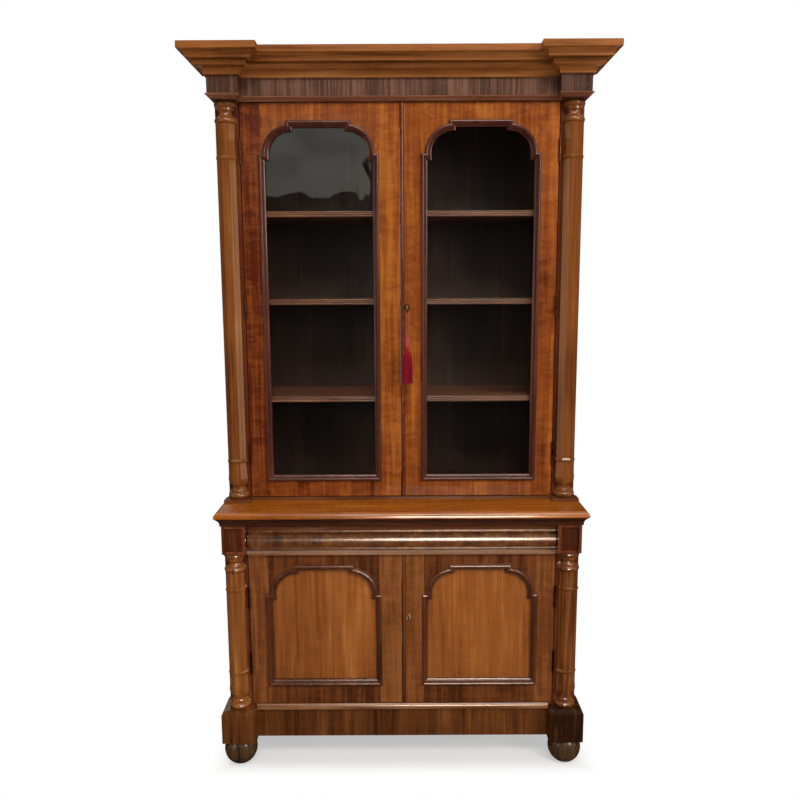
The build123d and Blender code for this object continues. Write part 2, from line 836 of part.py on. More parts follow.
save("shelf_racks", both_sides(rack(upper_inside, 1)), both_sides(rack(back_face, -1)))
cupboard_level = base_floor_top + cupboard_shelf_height
cupboard_front = base_face + cupboard_shelf_setback
batten = block(rack_x, inner_half, cupboard_front, back_face, cupboard_level - bearer_height, cupboard_level)
bearers = []
for shelf_name, tooth in (
    ("lower_shelf", lower_shelf_tooth_count),
    ("middle_shelf", middle_shelf_tooth_count),
    ("top_shelf", top_shelf_tooth_count),
):
    bearers.extend(both_sides(bearer(tooth)))
    save(shelf_name, upper_shelf(tooth))
save("shelf_bearers", bearers, both_sides(batten))
save("cupboard_shelf", reeded_board(cupboard_front, cupboard_level))

# Drawer: a cushion-moulded front on a plain box
drawer_low = rail_top + drawer_gap
drawer_high = drawer_ceiling - drawer_gap
cushion_line = base_face - cushion_base
cushion_low = (cushion_line, drawer_low + cushion_fillet)
cushion_high = (cushion_line, drawer_high - cushion_fillet)
front_rear = base_face + drawer_front_thickness
save("drawer_front", along_x(
    [
        bowed(cushion_low, cushion_high, cushion_depth),
        Polyline(cushion_high, (cushion_line, drawer_high), (front_rear, drawer_high)),
        Line((front_rear, drawer_high), (front_rear, drawer_low)),
        Polyline((front_rear, drawer_low), (cushion_line, drawer_low), cushion_low),
    ],
    -drawer_half, drawer_half,
))
box_low = rail_top + drawer_running_gap
box_rear = front_rear + drawer_length
inner_box = box_half - drawer_side_thickness
bottom_low = box_low + drawer_bottom_rise
bottom_high = bottom_low + drawer_bottom_thickness
save(
    "drawer_box",
    both_sides(block(inner_box, box_half, front_rear, box_rear, box_low, drawer_high)),
    block(-inner_box, inner_box, box_rear - drawer_side_thickness, box_rear, bottom_high, drawer_high),
)
save("drawer_bottom", block(-inner_box, inner_box, front_rear, box_rear, bottom_low, bottom_high))


# Hinges
def hinge_levels(bottom, top, count):
    span = top - bottom - 2 * hinge_end
    return [bottom + hinge_end + span * index / (count - 1) for index in range(count)]


def hinge_half(face, level, case_side):
    """A leaf of a right-hand butt hinge. The case leaf has the outer knuckles, the door leaf one between."""
    pin_y = face - hinge_pin_front
    low = level - hinge_length / 2
    third = hinge_length / 3
    x0 = half_opening - hinge_leaf if case_side else half_opening - hinge_gap
    leaf = block(x0, x0 + hinge_leaf, pin_y, face + hinge_leaf_depth, low, low + hinge_length)
    for index in range(3):
        place = Pos(hinge_x, pin_y, low + third * (index + 0.5))
        if (index != 1) == case_side:
            leaf += place * Cylinder(knuckle_radius, third - knuckle_gap)
        else:
            leaf -= place * Cylinder(knuckle_radius + knuckle_gap, third + knuckle_gap)
    return leaf - Pos(hinge_x, pin_y, level) * Cylinder(hinge_pin_radius + hinge_pin_fit, 2 * hinge_length)


def hinge_pin(face, level):
    return Pos(hinge_x, face - hinge_pin_front, level) * Cylinder(hinge_pin_radius, hinge_length)


upper_levels = hinge_levels(upper_door_bottom, upper_door_top, upper_hinge_count)
base_levels = hinge_levels(base_door_bottom, base_door_top, base_hinge_count)
hinge_places = [(upper_face, level) for level in upper_levels] + [(base_face, level) for level in base_levels]
save("hinge_case_leaves", [leaf for place in hinge_places for leaf in both_sides(hinge_half(*place, True))])
save("hinge_pins", [pin for place in hinge_places for pin in both_sides(hinge_pin(*place))])


# Locks, escutcheons and sliding bolts. Locks are drawn on the right-hand doors.
def keyhole(front, level, depth):
    """A round hole with a slot below it."""
    hole = Rot(X=90) * Cylinder(keyhole_radius, depth)
    slot = Pos(0, 0, -keyhole_length / 2) * Box(keyhole_slot, depth, keyhole_length)
    return Pos(key_x, front + depth / 2, level) * (hole + slot)


def lock_bolt(face, level, start, end, room):
    """The bolt, or with some room round it the space that it slides in."""
    middle = face + door_thickness - lock_depth / 2
    centre = level + lock_bolt_rise
    depth = lock_bolt_thickness / 2 + room
    height = lock_bolt_height / 2 + room
    return block(start, end, middle - depth, middle + depth, centre - height, centre + height)


def lock_case(face, level):
    back = face + door_thickness
    front = back - lock_depth
    end = meeting_x + lock_width
    half = lock_height / 2
    case = block(meeting_x, end, front, back, level - half, level + half)
    case -= block(
        meeting_x + lock_wall, end - lock_wall, front + lock_wall, back - lock_wall,
        level - half + lock_wall, level + half - lock_wall,
    )
    case -= keyhole(front, level, lock_wall)
    return case - lock_bolt(face, level, meeting_x, meeting_x + 2 * lock_wall, lock_fit)


def lock_pocket(face, level):
    back = face + door_thickness
    half = lock_height / 2 + lock_fit
    end = meeting_x + lock_width + lock_fit
    return block(meeting_x, end, back - lock_depth - lock_fit, back, level - half, level + half)


def escutcheon(face, level):
    plate = Ellipse(escutcheon_width / 2, escutcheon_height / 2)
    solid = Pos(key_x, 0, level) * extrude(upright(face) * plate, amount=escutcheon_thickness, dir=(0, -1, 0))
    return solid - keyhole(face - escutcheon_thickness, level, escutcheon_thickness)


def rod_bolt(face, tip, toward):
    """A round bolt on the back of a left door, withdrawn. Toward is 1 for upwards and -1 for downwards."""
    y = face + rod_offset
    rod = Pos(rod_x, y, tip - toward * rod_length / 2) * Cylinder(rod_radius, rod_length)
    knob = Rot(X=90) * Cylinder(rod_knob_radius, rod_knob_length)
    return rod + Pos(rod_x, y + rod_knob_length / 2, tip - toward * rod_knob_place) * knob


def rod_guides(face, tip, toward):
    back = face + door_thickness
    depth = 2 * (rod_stand + rod_radius)
    guides = []
    for place in (guide_near, guide_far):
        level = tip - toward * place
        guide = Pos(rod_x, back + depth / 2, level) * Box(guide_width, depth, guide_height)
        guides.append(guide - Pos(rod_x, back + depth / 2, level) * Cylinder(rod_hole, 2 * guide_height))
    return guides


# Doors
shoulder_start = (moulding_round_width, moulding_shoulder)
shoulder_end = (moulding_round_width + moulding_quirk, moulding_shoulder)
cove_end = (moulding_width, -moulding_shoulder)
moulding_foot = moulding_fit - glass_seat
moulding_step = moulding_lap + moulding_fit
door_moulding_section = make_face([
    Polyline((moulding_step, 0), (0, 0), (0, moulding_edge)),
    bowed((0, moulding_edge), shoulder_start, moulding_round_rise),
    Line(shoulder_start, shoulder_end),
    bowed(shoulder_end, cove_end, -moulding_cove),
    Polyline(cove_end, (moulding_width, moulding_foot), (moulding_step, moulding_foot), (moulding_step, 0)),
])
bead_front = -glass_seat - glass_thickness
glazing_bead_section = make_face(Polyline(
    (moulding_fit, bead_front), (glazing_bead_width, bead_front), (moulding_lap / 2, -door_thickness),
    (moulding_fit, -door_thickness), close=True,
))


def on_side(pieces, right):
    return pieces if right else [mirror(piece, about=Plane.YZ) for piece in pieces]


def door_frame(face, bottom, top, arch, cuts):
    """Two stiles and two rails round the arched opening, rebated at the back for the pane."""
    outer = meeting_x + door_width
    back = face + door_thickness
    plate = block(meeting_x, outer, face, back, bottom, top)
    plate -= extrude(upright(face) * arch_face(*arch, moulding_lap), amount=door_thickness, dir=(0, 1, 0))
    plate -= extrude(upright(face + glass_seat) * arch_face(*arch, 0.0), amount=door_thickness, dir=(0, 1, 0))
    for cut in cuts:
        plate -= cut
    meeting_stile = meeting_side_margin + moulding_lap
    hinge_stile = hinge_side_margin + moulding_lap
    joints = [meeting_x, meeting_x + meeting_stile, outer - hinge_stile, outer]
    pieces = []
    for x0, x1 in zip(joints, joints[1:]):
        pieces.extend((plate & block(x0, x1, face, back, bottom, top)).solids())
    return pieces


def meeting_bead(face, bottom, top):
    """The round bead planted along the meeting edge of a right door."""
    inner = (meeting_x, face)
    outer = (meeting_x + meeting_bead_width, face)
    section = make_face([bowed(inner, outer, -meeting_bead_rise), Line(outer, inner)])
    return extrude(Pos(0, 0, bottom) * section, amount=top - bottom, dir=(0, 0, 1))


def door(name, right, face, bottom, top, margins, levels, key_level, rods, glazed):
    """Saves the frame, pane, mouldings and fittings of one door."""
    arch = (bottom + margins[0], top - margins[1])
    fittings = on_side([hinge_half(face, level, False) for level in levels], right)
    if right:
        cuts = [lock_pocket(face, key_level), keyhole(face, key_level, door_thickness)]
        frame = door_frame(face, bottom, top, arch, cuts) + [meeting_bead(face, bottom, top)]
        fittings.append(escutcheon(face, key_level))
    else:
        depth = lock_bolt_throw + 2 * mortise_room
        mortise = lock_bolt(face, key_level, meeting_x, meeting_x + depth, mortise_room)
        frame = on_side(door_frame(face, bottom, top, arch, [mortise]), right)
        for rod in rods:
            fittings.extend(rod_guides(face, *rod))
    outer = arch_route(*arch, 0.0)
    mouldings = mitred_ring(door_moulding_section, outer, arch_route(*arch, moulding_width), upright(face))
    if glazed:
        inner = arch_route(*arch, glazing_bead_width)
        mouldings += mitred_ring(glazing_bead_section, outer, inner, upright(face))
    thickness = glass_thickness if glazed else panel_thickness
    pane_face = upright(face + glass_seat) * arch_face(*arch, pane_clearance)
    pane = extrude(pane_face, amount=thickness, dir=(0, 1, 0))
    save(f"{name}_frame", frame)
    save(f"{name}_moulding", on_side(mouldings, right))
    save(f"{name}_glass" if glazed else f"{name}_panel", on_side([pane], right))
    save(f"{name}_fittings", fittings)


upper_margins = (upper_outline_bottom, upper_outline_top)
base_margins = (base_outline_bottom, base_outline_top)
upper_sizes = (upper_face, upper_door_bottom, upper_door_top, upper_margins, upper_levels, upper_key_height)
base_sizes = (base_face, base_door_bottom, base_door_top, base_margins, base_levels, base_key_height)
top_rod = (upper_ceiling - rod_tip_gap, 1)
bottom_rod = (upper_floor_top + rod_tip_gap, -1)
base_rod = (rail_bottom - door_gap - rod_tip_gap / 2, 1)
door("upper_left_door", False, *upper_sizes, [top_rod, bottom_rod], True)
door("upper_right_door", True, *upper_sizes, [], True)
door("lower_left_door", False, *base_sizes, [base_rod], False)
door("lower_right_door", True, *base_sizes, [], False)
save("upper_left_top_bolt", rod_bolt(upper_face, *top_rod))
save("upper_left_bottom_bolt", rod_bolt(upper_face, *bottom_rod))
save("lower_left_bolt", rod_bolt(base_face, *base_rod))
bolt_start = meeting_x + lock_fit
for lock_name, face, level in (
    ("upper", upper_face, upper_key_height),
    ("lower", base_face, base_key_height),
):
    save(f"{lock_name}_lock", lock_case(face, level))
    save(f"{lock_name}_lock_bolt", lock_bolt(face, level, bolt_start, bolt_start + lock_bolt_length, 0.0))

# Key, with a ring bow that stands upright
key_end = upper_face + door_thickness - 2 * lock_wall
key_length = key_end - upper_face + key_reach
bow_y = upper_face - key_reach - bow_radius
bit_y = upper_face + door_thickness - lock_depth / 2
stem = Pos(0, key_end - key_length / 2, 0) * Rot(X=90) * Cylinder(key_radius, key_length)
bit = Pos(0, bit_y, -key_bit_length / 2) * Box(key_bit_thickness, key_bit_width, key_bit_length)
bow = Pos(0, bow_y, 0) * Rot(Y=90) * Torus(bow_radius, bow_wire)
save("upper_key", Pos(key_x, 0, upper_key_height) * (stem + bit + bow))

# Tassel on a doubled cord, looped over the lower side of the bow
wire_level = upper_key_height - bow_radius
tassel_top = wire_level - cord_drop
loop_rise = bow_wire + cord_diameter / 2 + cord_clear
loop_half = loop_rise + cord_side_room
cord_end = tassel_top + cord_end_gap
cord_points = [
    (key_x - cord_spread, bow_y, cord_end), (key_x - loop_half, bow_y, wire_level + loop_rise),
    (key_x + loop_half, bow_y, wire_level + loop_rise), (key_x + cord_spread, bow_y, cord_end),
]


def bend_radius(before, corner, after):
    """As large an arc as the two runs beside a corner allow."""
    into = Vector(corner) - Vector(before)
    out = Vector(after) - Vector(corner)
    half_turn = math.radians(into.get_angle(out)) / 2
    return 0.45 * min(into.length, out.length) / math.tan(half_turn)


cord_radii = [bend_radius(*cord_points[index:index + 3]) for index in range(len(cord_points) - 2)]
cord_path = FilletPolyline(*cord_points, radius=cord_radii)
cord_section = Plane(origin=cord_path @ 0, z_dir=cord_path % 0) * Circle(cord_diameter / 2)
cord = sweep(cord_section, path=cord_path)
save("tassel_cord", cord)
print("cord radii", [round(radius, 2) for radius in cord_radii], "length", round(cord_path.length, 1))
print("cord volume over section times length", round(cord.volume / (cord_section.area * cord_path.length), 4))

knob_low = tassel_top - tassel_knob_height
collar_low = knob_low - tassel_collar_height
skirt_low = collar_low - tassel_skirt_length
swell = tassel_knob_radius - tassel_neck_radius
save("tassel", Pos(key_x, bow_y, 0) * turned([
    Line((0, tassel_top), (tassel_neck_radius, tassel_top)),
    bowed((tassel_neck_radius, tassel_top), (tassel_neck_radius, knob_low), swell),
    bowed((tassel_neck_radius, knob_low), (tassel_neck_radius, collar_low), swell),
    Polyline((tassel_neck_radius, collar_low), (tassel_skirt_radius, skirt_low), (0, skirt_low)),
    Line((0, skirt_low), (0, tassel_top)),
]))
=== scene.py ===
# %% [markdown]
# # A glazed mahogany bookcase
# The bookcase comes from CAD as separate solids in metres, with +Z up and the front towards -Y. This lesson
# gives it a camera, a tassel, finishes and light. The CAD pieces stay where they are, so every place and size
# below is a real one on the bookcase.

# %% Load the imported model
import math
import random

import bmesh
import bpy
from mathutils import Matrix, Vector


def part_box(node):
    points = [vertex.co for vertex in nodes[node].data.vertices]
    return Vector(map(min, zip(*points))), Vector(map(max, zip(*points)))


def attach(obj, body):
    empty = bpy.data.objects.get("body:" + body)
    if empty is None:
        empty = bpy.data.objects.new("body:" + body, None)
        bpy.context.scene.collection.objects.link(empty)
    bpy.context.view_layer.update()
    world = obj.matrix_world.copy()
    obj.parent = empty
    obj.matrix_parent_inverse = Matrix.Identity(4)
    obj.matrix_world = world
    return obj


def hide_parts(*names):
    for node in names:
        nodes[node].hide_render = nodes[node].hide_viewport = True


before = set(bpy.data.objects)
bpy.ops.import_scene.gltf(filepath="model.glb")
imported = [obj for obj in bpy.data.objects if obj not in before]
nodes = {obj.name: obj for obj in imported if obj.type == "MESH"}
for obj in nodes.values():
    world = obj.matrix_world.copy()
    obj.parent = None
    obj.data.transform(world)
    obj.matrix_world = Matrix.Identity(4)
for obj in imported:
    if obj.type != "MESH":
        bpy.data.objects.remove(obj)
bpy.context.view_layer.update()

# %% [markdown]
# ## Camera
# The bookcase was seen from the height of a standing person's eyes, a good two metres away, with the camera
# tipped down. A camera can be placed by trying, or worked out from edges of known size. Here the focal
# length, height and tilt come from the widths of the case at its foot and at its cornice.

# %% Place the camera
image_size = 800
focal_pixels = 759.0
sideways_pixels = -1.0
eye_distance = 2.624
eye_height = 1.6316
degrees_down = 8.46
degrees_leaning = -0.27
camera_data = bpy.data.cameras.new("standing_view")
camera_data.sensor_fit = "HORIZONTAL"
camera_data.sensor_width = 36.0
camera_data.lens = focal_pixels / image_size * camera_data.sensor_width
camera_data.shift_x = sideways_pixels / image_size
camera = bpy.data.objects.new("standing_view", camera_data)
tilt = Matrix.Rotation(math.radians(90 - degrees_down), 4, "X")
roll = Matrix.Rotation(math.radians(degrees_leaning), 4, "Z")
turn = tilt @ roll
camera.matrix_world = Matrix.Translation((0.0, -eye_distance, eye_height)) @ turn
bpy.context.scene.collection.objects.link(camera)
bpy.context.scene.camera = camera
print("camera lens", round(camera_data.lens, 2), "mm")

# %% [markdown]
# ## Tassel cord
# A doubled cord hangs over the ring of the key, and both its ends are sewn into the head of the tassel. A
# cord could be a swept mesh, but a NURBS curve with a round bevel stays smooth with very few points. Two
# points above the ring make the loop, and one more on each strand keeps the strands straight below it.

# %% Prepare yarn that hangs from the key
def yarn_curve(name, rounding, steps):
    """An empty curve. A bevel of 1 makes each point's radius its real radius in metres."""
    curve = bpy.data.curves.new(name, "CURVE")
    curve.dimensions = "3D"
    curve.bevel_depth = 1.0
    curve.bevel_resolution = rounding
    curve.resolution_u = steps
    return curve


def add_strand(curve, places, radius):
    """A smooth strand that starts at the first place and ends at the last."""
    strand = curve.splines.new("NURBS")
    strand.points.add(len(places) - 1)
    for point, place in zip(strand.points, places):
        point.co = (*place, 1.0)
        point.radius = radius
    strand.order_u = 3
    strand.use_endpoint_u = True


def hang(name, data):
    """A piece of the tassel, which moves with the tassel's body."""
    piece = bpy.data.objects.new(name, data)
    bpy.context.scene.collection.objects.link(piece)
    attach(piece, "hanging_tassel")
    return piece


print("yarn ready to hang")

# %% Hang the cord
cord_thickness = 0.0026
tassel_x = 0.022
tassel_y = -0.118
cord_points = [
    (0.0198, tassel_y, 1.46905), (0.01815, tassel_y, 1.5423), (0.0178, tassel_y, 1.5579),
    (0.0262, tassel_y, 1.5579), (0.02585, tassel_y, 1.5423), (0.0242, tassel_y, 1.46905),
]
cord_curve = yarn_curve("doubled_cord", rounding=3, steps=10)
add_strand(cord_curve, cord_points, cord_thickness / 2)
cord = hang("doubled_cord", cord_curve)
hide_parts("tassel_cord")
print("cord", len(cord_points), "control points")

# %% [markdown]
# ## Tassel
# The head is a wooden mould covered with yarn laid from top to bottom, a band is wound round its neck, and
# the skirt is a bundle of loose threads. Modelling each yarn on the head would add many faces for little, so
# the head is turned from an outline, with a ripple round it for the yarns. The skirt is one curve object with
# a strand for each thread, because threads are too thin to show more than their direction.

# %% Turn a piece of the tassel
def turned_mesh(name, outline, steps, ripple):
    """A turned piece, closed at both ends.

    Outline gives (radius, height) pairs, and ripple the share by which the radius grows at an angle.
    """
    mesh = bmesh.new()
    rings = []
    for radius, height in outline:
        ring = []
        for step in range(steps):
            angle = 2 * math.pi * step / steps
            reach = radius * (1 + ripple(angle))
            x = tassel_x + reach * math.cos(angle)
            y = tassel_y + reach * math.sin(angle)
            ring.append(mesh.verts.new((x, y, height)))
        rings.append(ring)
    for lower, upper in zip(rings, rings[1:]):
        for step in range(steps):
            after = (step + 1) % steps
            mesh.faces.new((lower[step], lower[after], upper[after], upper[step])).smooth = True
    mesh.faces.new(list(reversed(rings[0])))
    mesh.faces.new(rings[-1])
    data = bpy.data.meshes.new(name)
    mesh.to_mesh(data)
    mesh.free()
    return hang(name, data)


print("turning ready")

# %% Turn the head
head_top = 1.469
head_low = 1.434
head_rings = 15
head_end = 0.0035
head_swell = 0.0042
yarns_on_head = 18
yarn_ripple = 0.035
head_outline = []
for ring in range(head_rings):
    share = ring / (head_rings - 1)
    # A barrel: half a wave, cut a little short at both ends, and fuller than a sine.
    swell = math.sin(math.pi * (0.06 + 0.88 * share)) ** 0.6
    head_outline.append((head_end + head_swell * swell, head_low + (head_top - head_low) * share))
head = turned_mesh(
    "tassel_head", head_outline, 4 * yarns_on_head,
    lambda angle: yarn_ripple * math.cos(yarns_on_head * angle),
)
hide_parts("tassel")
print("tassel head", len(head.data.polygons), "faces")

# %% Wind the neck
neck_low = 1.416
neck_radius = 0.0052
neck_swell = 0.0012
wound_yarn = 0.0006
turns_on_neck = 6
rings_on_neck = 6 * turns_on_neck
neck_outline = []
for ring in range(rings_on_neck + 1):
    share = ring / rings_on_neck
    bulge = wound_yarn * abs(math.sin(math.pi * turns_on_neck * share))
    radius = neck_radius + bulge + neck_swell * math.sin(math.pi * share)
    neck_outline.append((radius, neck_low + (head_low - neck_low) * share))
neck = turned_mesh("tassel_neck", neck_outline, 32, lambda angle: 0.0)
print("tassel neck", len(neck.data.polygons), "faces")

# %% Hang the threads of the skirt
thread_count = 110
thread_radius = 0.00085
hidden_in_neck = 0.004
skirt_top = neck_low + hidden_in_neck
skirt_low = 1.3135
skirt_radius = 0.0196
golden_angle = 2.39996  # spreads the threads evenly over the round
wander = 0.05
# Each pair is a share of the way down and the share of the way out that the thread has reached there.
thread_course = [(0.0, 0.0), (0.06, 0.76), (0.3, 0.9), (0.65, 0.98), (1.0, 1.0)]
chance = random.Random(7)
skirt_curve = yarn_curve("tassel_skirt", rounding=0, steps=3)
for index in range(thread_count):
    angle = index * golden_angle
    share = math.sqrt((index + 0.5) / thread_count)
    top_radius = neck_radius * share
    foot_radius = skirt_radius * share * chance.uniform(0.86, 1.0)
    sway = chance.uniform(-0.12, 0.12)
    low = skirt_low + chance.uniform(0.0, 0.005)
    places = []
    for drop, spread in thread_course:
        radius = top_radius + (foot_radius - top_radius) * spread
        bearing = angle + sway * drop + wander * math.sin(3 * drop + index)
        x = tassel_x + radius * math.cos(bearing)
        y = tassel_y + radius * math.sin(bearing)
        places.append((x, y, skirt_top + (low - skirt_top) * drop))
    add_strand(skirt_curve, places, thread_radius)
skirt = hang("tassel_skirt", skirt_curve)
print("tassel threads", len(skirt_curve.splines))

# %% [markdown]
# ## Shader arithmetic
# Wood is built from numbers that vary over the surface, and a node for each sum would hide the idea. A small
# class wraps one socket, so that a sum written in Python adds its Math node. One method adds any other node:
# its settings come first, because they can change which sockets the node has, and then its inputs.

# %% Wrap a socket
class Wire:
    """A socket of a node tree that can be added, multiplied and compared like a number."""

    def __init__(self, tree, socket=None):
        self.tree = tree
        self.socket = socket

    def node(self, kind, settings=None, inputs=None, output=0):
        """A new node in the same tree, as a wire from one of its outputs."""
        made = self.tree.nodes.new(kind)
        for name, value in (settings or {}).items():
            setattr(made, name, value)
        for name, value in (inputs or {}).items():
            if isinstance(value, Wire):
                self.tree.links.new(value.socket, made.inputs[name])
            else:
                made.inputs[name].default_value = value
        return Wire(self.tree, made.outputs[output] if len(made.outputs) else None)

    def of(self, output):
        """Another output of the same node."""
        return Wire(self.tree, self.socket.node.outputs[output])

    def math(self, operation, first, second=0.0):
        return self.node("ShaderNodeMath", {"operation": operation}, {0: first, 1: second})

    def __add__(self, other):
        return self.math("ADD", self, other)

    def __radd__(self, other):
        return self.math("ADD", other, self)

    def __sub__(self, other):
        return self.math("SUBTRACT", self, other)

    def __rsub__(self, other):
        return self.math("SUBTRACT", other, self)

    def __mul__(self, other):
        return self.math("MULTIPLY", self, other)

    def __rmul__(self, other):
        return self.math("MULTIPLY", other, self)

    def __gt__(self, other):
        return self.math("GREATER_THAN", self, other)

    def __abs__(self):
        return self.math("ABSOLUTE", self)

    def either(self, other):
        """The larger of two numbers, so that one of two masks is enough."""
        return self.math("MAXIMUM", self, other)

    def ramp(self, low, high):
        """0 below low, 1 above high, with a soft start and end."""
        return self.node(
            "ShaderNodeMapRange", {"interpolation_type": "SMOOTHSTEP"},
            {"Value": self, "From Min": low, "From Max": high},
        )

    def blend(self, first, second):
        """A colour between two colours, with this number as the share of the second."""
        return self.node("ShaderNodeMix", {"data_type": "RGBA"}, {0: self, 6: first, 7: second}, 2)


print("socket arithmetic ready")

# %% Start and close a finish
def colour(red, green, blue):
    """A screen colour from 0 to 255 as the linear colour that shaders use."""
    levels = []
    for value in (red, green, blue):
        share = value / 255
        levels.append(share / 12.92 if share <= 0.04045 else ((share + 0.055) / 1.055) ** 2.4)
    return (*levels, 1.0)


def new_finish(name):
    """An empty material, and a wire to build its nodes on."""
    material = bpy.data.materials.new(name)
    material.use_nodes = True
    material.node_tree.nodes.clear()
    return material, Wire(material.node_tree)


def surface(paint, shader):
    """Makes this shader the material's surface."""
    paint.node("ShaderNodeOutputMaterial", {}, {"Surface": shader})


def directions(paint, output):
    """X, Y and Z of a point's place (Object) or of the way its face looks (Normal)."""
    vector = paint.node("ShaderNodeTexCoord", output=output)
    x = paint.node("ShaderNodeSeparateXYZ", {}, {"Vector": vector})
    return x, x.of("Y"), x.of("Z")


print("a colour of 128 is", round(colour(128, 128, 128)[0], 4), "for a shader")

# %% [markdown]
# ## Mahogany
# The case is polished mahogany. Photographs of wood repeat and need unwrapping, so the grain is made from
# noise that is stretched along the board, in the bookcase's own metres. Three layers matter: slow streaks
# along the grain, a mottled figure across it, and short dark pores. The French polish is a thin gloss over
# all of it. Boards that meet edge to edge get another piece of the same noise, and can be a little lighter or
# darker than their neighbours.

# %% Lay the grain
def grain_space(paint, along):
    """Where a point lies along the grain and in the two directions across it.

    Along is X, Y or Z, or "round" for a moulding that runs along the front and returns along the sides.
    """
    x, y, z = directions(paint, "Object")
    straight = {"X": (x, y, z), "Y": (y, x, z), "Z": (z, x, y)}
    if along in straight:
        return straight[along]
    side = abs(directions(paint, "Normal")[0]) > 0.7  # a face that looks mostly sideways
    return x * (1 - side) + y * side, y * (1 - side) + x * side, z


print("grain runs along X, Y, Z or round the case")

# %% Make a board of mahogany
next_board = 3.7  # how far one board's noise lies from the last


def mahogany(
    name, along, deep, middle, bright,
    mottle=0.05, streaks=70.0, gloss=0.2, boards=(), beyond=None, polish=0.3,
):
    """Polished wood between three colours.

    Boards gives (edge, tone) pairs: to the right of X = edge the wood is lighter by tone.
    Beyond is one such pair for the third direction: Y where the grain runs upright, and otherwise Z.
    """
    material, paint = new_finish(name)
    run, across, through = grain_space(paint, along)
    board = 0.0
    shade = 0.0
    for edge, tone in boards:
        right_of = across > edge
        board = right_of * next_board + board
        shade = right_of * tone + shade
    if beyond:
        level, tone = beyond
        shade = (through > level) * tone + shade

    def noise(lengthwise, crosswise, detail, roughness, distortion=0.0):
        """Noise with so many waves to the metre along the grain and across it."""
        spot = paint.node("ShaderNodeCombineXYZ", {}, {
            "X": across * crosswise + board, "Y": through * crosswise, "Z": run * lengthwise + board,
        })
        return paint.node("ShaderNodeTexNoise", {}, {
            "Vector": spot, "Scale": 1.0, "Detail": detail, "Roughness": roughness, "Distortion": distortion,
        })

    broad = noise(2.2, 9.0, 2.0, 0.5, 0.6)
    streak = noise(3.0, streaks, 4.0, 0.6, 0.5)
    figure = noise(46.0, 17.0, 3.0, 0.55, 0.8)
    pores = noise(45.0, 1100.0, 2.0, 0.6).ramp(0.56, 0.7)
    # The tone lies round 0.5 and picks a colour from deep over middle to bright. Pores are darker still.
    tone = streak * 0.46 + broad * 0.3 + 0.12 + (figure - 0.5) * mottle + shade
    wood = tone.ramp(0.36, 0.52).blend(colour(*deep), colour(*middle))
    wood = tone.ramp(0.5, 0.66).blend(wood, colour(*bright))
    wood = (pores * 0.4).blend(wood, colour(*[0.5 * level for level in deep]))
    rough = gloss + pores * 0.14 + figure * 0.06
    height = noise(0.9, 6.0, 1.0, 0.4) * 0.6 - pores * 0.25
    bump = paint.node("ShaderNodeBump", {}, {"Strength": 0.12, "Distance": 0.002, "Height": height})
    surface(paint, paint.node("ShaderNodeBsdfPrincipled", {}, {
        "Base Color": wood, "Roughness": rough, "Normal": bump, "Specular IOR Level": 0.4,
        "Coat Weight": polish, "Coat Roughness": 0.06,
    }))
    return material


print("mahogany ready to choose")

# %% Find where the boards of the doors meet
hinge_stile = 0.064
meeting_stile = 0.075
meeting_bead = 0.0135
margin = 0.01  # so that the first tone covers the whole of the left hinge stile
left_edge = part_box("upper_left_door_frame")[0][0]
right_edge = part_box("upper_right_door_frame")[1][0]
board_edges = [
    left_edge - margin, left_edge + hinge_stile, -meeting_stile,
    0.0, meeting_bead, meeting_stile, right_edge - hinge_stile,
]
door_boards = list(zip(board_edges, [-0.09, 0.09, 0.09, -0.16, 0.11, 0.0, -0.02]))
cupboard_boards = list(zip(board_edges, [0.06, -0.12, 0.18, -0.16, 0.13, -0.14, 0.12]))
print("board edges", [round(edge, 4) for edge in board_edges])

# %% Choose the woods of the upper case, the doors and the columns
end_block = 0.5  # the end blocks of the frieze lie further than this from the middle
right_one = 0.3  # of two base columns or plinth blocks, the right one lies beyond this
cornice_wood = mahogany(
    "cornice_wood", "round", (96, 48, 16), (144, 84, 36), (170, 110, 56), streaks=60.0,
)
frieze_veneer = mahogany(
    "frieze_veneer", "Z", (48, 27, 20), (78, 50, 38), (120, 84, 66),
    streaks=130.0, boards=[(-end_block, 0.07), (end_block, -0.06)],
)
neck_wood = mahogany("neck_wood", "round", (84, 43, 27), (120, 72, 50), (148, 97, 69))
door_veneer = mahogany(
    "door_veneer", "Z", (86, 32, 13), (134, 67, 23), (170, 97, 34),
    mottle=0.26, gloss=0.18, boards=door_boards,
)
cupboard_veneer = mahogany(
    "cupboard_veneer", "Z", (76, 37, 15), (113, 61, 26), (146, 87, 43),
    mottle=0.16, streaks=60.0, gloss=0.18, boards=cupboard_boards,
)
panel_veneer = mahogany(
    "panel_veneer", "Z", (120, 64, 22), (152, 87, 35), (178, 112, 52), mottle=0.1, streaks=60.0,
)
column_wood = mahogany(
    "column_wood", "Z", (86, 42, 16), (128, 73, 32), (158, 101, 50), streaks=110.0, gloss=0.14,
)
base_column_wood = mahogany(
    "base_column_wood", "Z", (92, 46, 17), (140, 82, 35), (170, 110, 54),
    streaks=110.0, gloss=0.14, boards=[(right_one, -0.1)],
)
pilaster_wood = mahogany(
    "pilaster_wood", "Z", (70, 28, 14), (100, 46, 22), (128, 68, 32), mottle=0.08, streaks=90.0,
)
arch_moulding_wood = mahogany(
    "arch_moulding_wood", "Z", (56, 25, 18), (82, 40, 29), (108, 61, 44),
    streaks=90.0, gloss=0.18, polish=0.12,
)
panel_moulding_wood = mahogany(
    "panel_moulding_wood", "Z", (60, 29, 15), (90, 47, 25), (120, 70, 40),
    streaks=90.0, gloss=0.18, polish=0.1,
)
print("wood finishes", len(bpy.data.materials))

